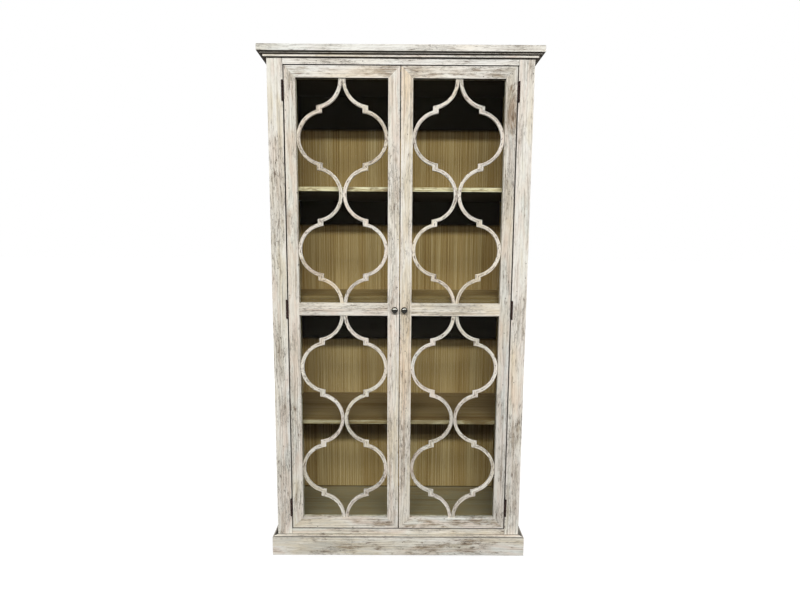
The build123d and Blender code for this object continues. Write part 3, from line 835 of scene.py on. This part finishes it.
def build_door_frames():
    for side, sign in SIDES:
        inward, outward = ("+X", "-X") if sign < 0 else ("-X", "+X")
        door = side + "_door_"
        hinge_gap_shade, top_gap_shade, bottom_gap_shade, darkening = DOOR_GAP_SHADE_AND_GRIME[side]
        low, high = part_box(door + "hinge_stile")
        hinge_bands = (gap_shade_line(door + "hinge_stile", outward, hinge_gap_shade), Band(Z, low.z, high.z, darkening))
        top_line = gap_shade_line(door + "top_rail", "+Z", top_gap_shade)
        foot_line = gap_shade_line(door + "bottom_rail", "-Z", bottom_gap_shade)
        board(door + "meeting_stile", LIMED, Z, X, (), (inward,))
        board(door + "hinge_stile", WEATHERED, Z, X, (), (outward,), hinge_bands)
        board(door + "top_rail", LIMED, X, Z, (), ("+Z",), (top_line,))
        board(door + "middle_rail", LIMED, X, Z, ("+X", "-X"))
        board(door + "bottom_rail", WEATHERED, X, Z, (), ("-Z",), (foot_line,))


# ---- glazing beads
BEAD_SHIFT = 0.37  # in the grain, of the lower ring on the left door and the upper one on the right
BEAD_ARRIS = 1.2 * MM
BEAD_EDGE, BEAD_TONE, BEAD_WARMTH = 0.2, -0.1, 0.2


def build_beads():
    """Slim strips that hold the glass, in a ring round each light, with upright grain."""
    for side, sign in SIDES:
        node = side + "_door_glass_beads"
        low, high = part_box(side + "_door_middle_rail")
        bm = solid_of(node)
        points = np.array([v.co for v in bm.verts], float)
        shifted = sign * (points[:, [Z]] - (low.z + high.z) / 2) > 0
        marks = points[:, [Z, X, Y]] + BEAD_SHIFT * shifted
        piece = add_piece("_eased", bm, node, LIMED, LIMED)
        edge = np.full(len(marks), BEAD_EDGE)
        set_marks(piece.data, marks, edge, 0, 1, len(boards), BEAD_TONE, BEAD_WARMTH)
        ease(piece, BEAD_ARRIS)


def ease(piece, width):
    """Round a piece's arrises with modifiers."""
    weld = piece.modifiers.new("weld", "WELD")
    weld.merge_threshold = 2 * WELD
    bevel = piece.modifiers.new("ease", "BEVEL")
    bevel.width = width
    bevel.segments = 2
    bevel.limit_method = "ANGLE"
    bevel.angle_limit = BEVELLED


# ---- fretwork
FRET_WIDTH = 14 * MM
FRET_LAP = 0.7 * MM
SHOULDER_WIDTH = 22 * MM
STILE_LAP = 0.5 * MM
FRET_DROPS = {"lower": 0.0, "upper": 4.5 * MM}  # middle of a light to the middle of its fretwork
FRET_ARRIS = 2.0 * MM
FRET_EDGE_REACH = 5 * MM
FRET_TONE = 0.1
FIRST_FRET_SEED = 60
FOILS = 2
ARC_STEPS, SHOULDER_STEPS = 44, 7
CORNER_STEPS, FLAT_STEPS = 4, 6  # round the front of a strip's section


def arc(centre, width, height, start, end, steps):
    """Points of part of an ellipse, of a half width and height, between two angles in degrees."""
    angles = np.radians(np.linspace(start, end, steps + 1))
    return np.stack([centre[0] + width * np.cos(angles), centre[1] + height * np.sin(angles)], axis=1)


def fret_quarter(half_width, foil):
    """Both edges of a strip from a waist up to the middle of a bulge.

    Each edge is an array of (distance from the light's centre line, height). Its first
    point is at the waist, and a shoulder joins its two arcs.
    """
    half = FRET_WIDTH / 2
    radius = (foil / 2 - FRET_WIDTH + FRET_LAP) / 2
    seam = outer_low.x - light_centre
    waist = (seam + half + radius, 0.0)
    bulge = (half_width + STILE_LAP - half - radius, foil / 2)
    shoulder = (waist[0] + bulge[0]) / 2
    edges = []
    for waist_radius, bulge_radius, step_x in (
        (radius + half, radius - half, shoulder - SHOULDER_WIDTH / 2),
        (radius - half, radius + half, shoulder + SHOULDER_WIDTH / 2),
    ):
        waist_end = math.degrees(math.acos((step_x - waist[0]) / waist_radius))
        bulge_start = -math.degrees(math.acos((step_x - bulge[0]) / bulge_radius))
        low = arc(waist, waist_radius, waist_radius, 180, waist_end, ARC_STEPS)
        high = arc(bulge, bulge_radius, bulge_radius, bulge_start, 0, ARC_STEPS)
        shares = np.linspace(0, 1, SHOULDER_STEPS + 2)[1:-1, None]
        middle = low[-1] + (high[0] - low[-1]) * shares
        edge = np.concatenate([low, middle, high])
        edge[:, 0] = np.minimum(edge[:, 0], half_width)
        edges.append(edge)
    return edges


def fret_edges(half_width, height, drop):
    """Both edges of a whole strip through every foil, cut off at the light's ends."""
    foil = height / FOILS
    whole = []
    for edge in fret_quarter(half_width, foil):
        falling = edge[::-1][1:-1] * (1, -1) + (0, foil)
        loop = np.concatenate([edge, falling])
        whole.append(np.concatenate([loop + (0, foil * index - drop) for index in range(-1, FOILS + 1)]))
    inside = [(edge[:, 1] > WELD) & (edge[:, 1] < height - WELD) for edge in whole]
    kept = inside[0] & inside[1]
    cut = []
    for edge in whole:
        ends = [(np.interp(level, edge[:, 1], edge[:, 0]), level) for level in (0.0, height)]
        cut.append(np.concatenate([ends[:1], edge[kept], ends[1:]]))
    return cut


def fret_section(width):
    """Points round a strip's section: (distance across, depth from the front), back to back."""
    corner = arc((FRET_ARRIS, FRET_ARRIS), FRET_ARRIS, FRET_ARRIS, 180, 270, CORNER_STEPS)
    flat = np.zeros((FLAT_STEPS - 1, 2))
    flat[:, 0] = np.linspace(FRET_ARRIS, width - FRET_ARRIS, FLAT_STEPS + 1)[1:-1]
    far = corner[::-1] * (-1, 1) + (width, 0)
    return np.concatenate([[(0, fret_depth)], corner, flat, far, [(width, fret_depth)]])


def bridge(bm, rows):
    """Faces from each closed row of vertices to the next, which has as many."""
    for near, far in zip(rows, rows[1:]):
        for index in range(len(near)):
            following = (index + 1) % len(near)
            bm.faces.new((near[index], near[following], far[following], far[index]))


def build_fret(node, sign, way, low_z, height, drop, seed):
    """One strip of fretwork, on one side of the cabinet, and on one side of the light."""
    near, far = fret_edges(light_half_width, height, drop)
    middle = (near + far) / 2
    along = np.concatenate([[0], np.cumsum(np.linalg.norm(np.diff(middle, axis=0), axis=1))])
    bm = bmesh.new()
    marks, edge_marks, rows = [], [], []
    for first, second, run in zip(near, far, along):
        width = np.linalg.norm(second - first)
        row = []
        for across, depth in fret_section(width):
            place = first + (second - first) * across / width
            x = sign * (light_centre + way * place[0])
            row.append(bm.verts.new((x, fret_front + depth, low_z + place[1])))
            marks.append((run, across - width / 2, depth))
            to_edge = min(across, width - across) + depth
            edge_marks.append(max(0.0, 1 - to_edge / FRET_EDGE_REACH))
        rows.append(row)
    bridge(bm, rows)
    bm.faces.new(rows[0])
    bm.faces.new(rows[-1][::-1])
    bmesh.ops.recalc_face_normals(bm, faces=bm.faces)
    piece = add_piece("_cut", bm, node, LIMED, "fret_wood")
    set_marks(piece.data, np.array(marks), np.array(edge_marks), 0, 1, seed, FRET_TONE)


def build_fretwork():
    seed = FIRST_FRET_SEED
    for side, sign in SIDES:
        for level, drop in FRET_DROPS.items():
            low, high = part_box("%s_door_%s_outer_fret" % (side, level))
            for strip, way in (("outer", 1), ("inner", -1)):
                node = "%s_door_%s_%s_fret" % (side, level, strip)
                build_fret(node, sign, way, low.z, high.z - low.z, drop, seed)
                seed += 1


# ---- knobs
KNOB_SEGMENTS = 64
LIP_STEPS, COVE_STEPS, UNDER_STEPS, DOME_STEPS = 5, 9, 11, 21
ROSE_RADIUS, ROSE_HEIGHT, ROSE_LIP = 9 * MM, 2 * MM, 0.8 * MM
NECK_RADIUS, COVE_LENGTH, NECK_END = 4.8 * MM, 3 * MM, 1 * MM
HEAD_LENGTH, DOME_LENGTH = 12 * MM, 7.6 * MM


def knob_profile(reach, radius):
    """Rose, coved neck and mushroom head, as (distance out from the door, radius)."""
    head_start, widest = reach - HEAD_LENGTH, reach - DOME_LENGTH
    rim = ROSE_RADIUS - ROSE_LIP
    lip = arc((ROSE_HEIGHT - ROSE_LIP, rim), ROSE_LIP, ROSE_LIP, 90, 0, LIP_STEPS)
    cove = arc((ROSE_HEIGHT + COVE_LENGTH, rim), COVE_LENGTH, rim - NECK_RADIUS, 180, 270, COVE_STEPS)
    neck = [(head_start - NECK_END, NECK_RADIUS)]
    under = arc((widest, NECK_RADIUS), widest - head_start, radius - NECK_RADIUS, 180, 90, UNDER_STEPS)
    dome = arc((widest, 0.0), reach - widest, radius, 90, 0, DOME_STEPS)
    return np.concatenate([[(0.0, ROSE_RADIUS)], lip, cove, neck, under, dome[1:]])


def build_knob(side):
    """Turned knob in place of the CAD one, with its axis along Y."""
    node = side + "_knob"
    low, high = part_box(node)
    centre_x, centre_z = (low.x + high.x) / 2, (low.z + high.z) / 2
    profile = knob_profile(high.y - low.y, (high.x - low.x) / 2)
    turn = [2 * math.pi * step / KNOB_SEGMENTS for step in range(KNOB_SEGMENTS)]
    bm = bmesh.new()
    rings = []
    for out, radius in profile[:-1]:
        across = [(centre_x + radius * math.cos(a), centre_z + radius * math.sin(a)) for a in turn]
        rings.append([bm.verts.new((x, high.y - out, z)) for x, z in across])
    tip = bm.verts.new((centre_x, low.y, centre_z))
    bridge(bm, rings)
    for index in range(KNOB_SEGMENTS):
        bm.faces.new((rings[-1][index], rings[-1][(index + 1) % KNOB_SEGMENTS], tip))
    bm.faces.new(rings[0][::-1])
    bmesh.ops.recalc_face_normals(bm, faces=bm.faces)
    return add_piece("_turned", bm, node, "dark_bronze", "dark_bronze")


# ---- metal, plastic and glass
LACQUER = {"Coat Weight": 0.6, "Coat Roughness": 0.06, "Coat IOR": 1.45}
PANE_IOR = 1.1  # a weak mirror, like that of the photographed panes
# Widths of the eased arrises of the fittings.
HINGE_ARRIS, SCREW_ARRIS, KNOB_SCREW_ARRIS = 0.35 * MM, 0.15 * MM, 0.25 * MM
CATCH_ARRIS, PLATE_ARRIS = 0.6 * MM, 0.3 * MM


def object_place(tree):
    """Metres from the middle of the cabinet's foot."""
    return tree.add("TexCoord").outputs["Object"]


def worn_metal(name, dark, light, rough, grain_scale, **lacquer):
    """Metal with a mottled finish, fine casting grain and softly varied gloss."""
    made, tree = material(name)
    place = object_place(tree)
    mottle = tree.noise(place, 160.0, 4.0, 0.6)
    grain = tree.noise(place, grain_scale, 3.0, 0.6)
    scuffs = tree.noise(tree.stretch(place, (900.0, 900.0, 260.0)), 1.0, 2.0, 0.5)
    colour = tree.mix(tree.band(mottle, 0.35, 0.7), srgb(*dark), srgb(*light))
    roughness = tree.band(tree.math("ADD", mottle, scuffs), 0.8, 1.25, *rough)
    height = tree.plus(grain, (scuffs, 0.4))
    surface(tree, colour, roughness, height, 0.08 * MM, Metallic=1.0, **lacquer)
    return made


def moulded_plastic(name):
    """Brown-black plastic of the catches, with a fine spark-eroded grain."""
    made, tree = material(name)
    place = object_place(tree)
    grain = tree.noise(place, 2600.0, 2.0, 0.5)
    cloud = tree.noise(place, 60.0, 3.0, 0.5)
    colour = tree.mix(cloud, srgb(46, 36, 28), srgb(62, 50, 40))
    roughness = tree.band(cloud, 0.3, 0.7, 0.42, 0.55)
    surface(tree, colour, roughness, grain, 0.05 * MM)
    return made


def pane_glass(name):
    """Thin clear glass: it mirrors a little, more at a slant, and lets the lamps through."""
    made, tree = material(name)
    place = object_place(tree)
    smears = tree.noise(tree.stretch(place, (5.0, 5.0, 11.0)), 1.0, 5.0, 0.65)
    clear = tree.add("BsdfTransparent", {"Color": srgb(250, 252, 249)})
    roughness = tree.band(smears, 0.45, 0.75, 0.0, 0.06)
    mirror = tree.add("BsdfGlossy", {"Color": WHITE, "Roughness": roughness})
    fresnel = tree.add("Fresnel", {"IOR": PANE_IOR})
    mixed = {0: fresnel.outputs[0], 1: clear.outputs[0], 2: mirror.outputs[0]}
    mixed = tree.add("MixShader", mixed)
    tree.add("OutputMaterial", {"Surface": mixed.outputs[0]})
    return made


def dress(node, finish, width):
    """Give a CAD node a finish, and eased arrises where it has a width for them."""
    piece = frame["nodes"][node]
    for slot in piece.material_slots:
        slot.material = finishes[finish]
    if width:
        ease(piece, width)


def dress_fittings():
    for node in ("hinge_frame_leaves", "hinge_pins"):
        dress(node, "black_iron", HINGE_ARRIS)
    for node in ("carcass_screws", "back_panel_screws", "shelf_pins"):
        dress(node, "steel", SCREW_ARRIS)
    dress("catch_magnets", "catch_plastic", CATCH_ARRIS)
    for side, _ in SIDES:
        dress(side + "_door_hinge_leaves", "black_iron", HINGE_ARRIS)
        dress(side + "_door_screws", "steel", SCREW_ARRIS)
        dress(side + "_knob_screw", "steel", KNOB_SCREW_ARRIS)
        dress(side + "_catch_plate", "steel", PLATE_ARRIS)
        dress(side + "_door_glass_panes", "glass", 0.0)


# ---- studio
def seen_directly(tree):
    """1 for rays from the camera, and for those that metal or glass sends on."""
    path = tree.add("LightPath")
    seen = tree.math("ADD", path.outputs["Is Camera Ray"], path.outputs["Is Glossy Ray"])
    return tree.math("ADD", seen, path.outputs["Is Transmission Ray"], clamp=True)


def build_floor():
    """Pale floor that shows white, apart from the cabinet's own soft shadow."""
    made, tree = material("studio_floor")
    place = object_place(tree)
    distance = tree.add("VectorMath", {0: place}, operation="LENGTH").outputs["Value"]
    strength = tree.band(tree.band(distance, *FLOOR_FADE), 0, 1, *FLOOR_GLOW)
    glow = tree.add("Emission", {"Color": WHITE, "Strength": strength})
    grain = tree.mix(tree.noise(place, 7.0, 4.0, 0.6), srgb(148, 148, 148), srgb(156, 156, 156))
    lit = tree.add("BsdfDiffuse", {"Color": grain})
    shown = tree.add("AddShader", {0: glow.outputs[0], 1: lit.outputs[0]})
    dim = tree.add("BsdfDiffuse", {"Color": srgb(38, 38, 38)})
    mixed = {0: seen_directly(tree), 1: dim.outputs[0], 2: shown.outputs[0]}
    mixed = tree.add("MixShader", mixed)
    tree.add("OutputMaterial", {"Surface": mixed.outputs[0]})
    mesh = bpy.data.meshes.new("floor")
    corners = [(x * FLOOR_REACH, y * FLOOR_REACH, 0) for x, y in ((-1, -1), (1, -1), (1, 1), (-1, 1))]
    mesh.from_pydata(corners, [], [(0, 1, 2, 3)])
    mesh.materials.append(made)
    floor = placed("floor", mesh)


def build_world():
    """White backdrop, which gives the cabinet next to no light."""
    world = bpy.data.worlds.new("studio")
    bpy.context.scene.world = world
    tree = Tree(world)
    seen = seen_directly(tree)
    strength = tree.plus(AMBIENT, (seen, 1.0 - AMBIENT))
    shown = tree.add("Background", {"Color": WHITE, "Strength": strength})
    tree.add("OutputWorld", {"Surface": shown.outputs[0]})


def soft_box(name):
    """Area lamp that the gloss of the object doesn't mirror."""
    place, target, size, power = LAMPS[name]
    data = bpy.data.lights.new(name, "AREA")
    data.shape = "RECTANGLE"
    data.size, data.size_y = size
    data.energy = power
    lamp = placed(name, data)
    lamp.location = place
    lamp.rotation_euler = (Vector(target) - Vector(place)).to_track_quat("-Z", "Y").to_euler()
    lamp.visible_glossy = False
    return lamp


def build_lamps(knobs):
    """Two strips high in front, soft boxes for the sides and the back, and a glint for the knobs."""
    lamps = {name: soft_box(name) for name in LAMPS}
    sparkle = lamps["sparkle"]
    sparkle.visible_glossy = True
    sparkle.visible_diffuse = False
    sparkle.visible_camera = False
    lit = bpy.data.collections.new("knobs")
    for knob in knobs:
        lit.objects.link(knob)
    sparkle.light_linking.receiver_collection = lit


def build_camera():
    """Camera at the height of a person's chest, close to the cabinet, looking slightly down."""
    data = bpy.data.cameras.new("camera")
    data.sensor_width, data.lens = SENSOR_MM, LENS_MM
    data.clip_start, data.clip_end = CLIP
    camera = placed("camera", data)
    down, left, roll = (math.radians(angle) for angle in CAMERA_TURNS)
    turned = Matrix.Rotation(left, 4, "Z") @ Matrix.Rotation(math.pi / 2 - down, 4, "X")
    turned = turned @ Matrix.Rotation(roll, 4, "Z")
    camera.matrix_world = Matrix.Translation(CAMERA_PLACE) @ turned
    bpy.context.scene.camera = camera


# ---- put together
finishes = {
    LIMED: limed_pine("limed_pine"),
    WEATHERED: limed_pine("weathered_pine", softness=0.2),
    "fret_wood": limed_pine("limed_fretwork", cover_shift=0.34, down_shade=0.0, speckled=0.85),
    INSIDE: inside_pine("bare_pine"),
    "dusty_wood": inside_pine("dusty_pine", dust=0.75),
    "lip_wood": lipped_pine("pale_pine"),
    "black_iron": worn_metal("black_iron", (34, 28, 27), (84, 66, 62), (0.34, 0.6), 1500.0),
    "dark_bronze": worn_metal("dark_bronze", (18, 19, 14), (38, 35, 28), (0.12, 0.26), 1100.0, **LACQUER),
    "steel": worn_metal("steel", (120, 117, 110), (186, 182, 172), (0.26, 0.48), 1800.0),
    "catch_plastic": moulded_plastic("catch_plastic"),
    "glass": pane_glass("pane_glass"),
}

build_carcass()
build_door_frames()
build_beads()
build_fretwork()
knobs = [build_knob(side) for side, _ in SIDES]
dress_fittings()
build_floor()
build_world()
build_lamps(knobs)
build_camera()
bpy.context.scene.view_settings.view_transform = "Standard"
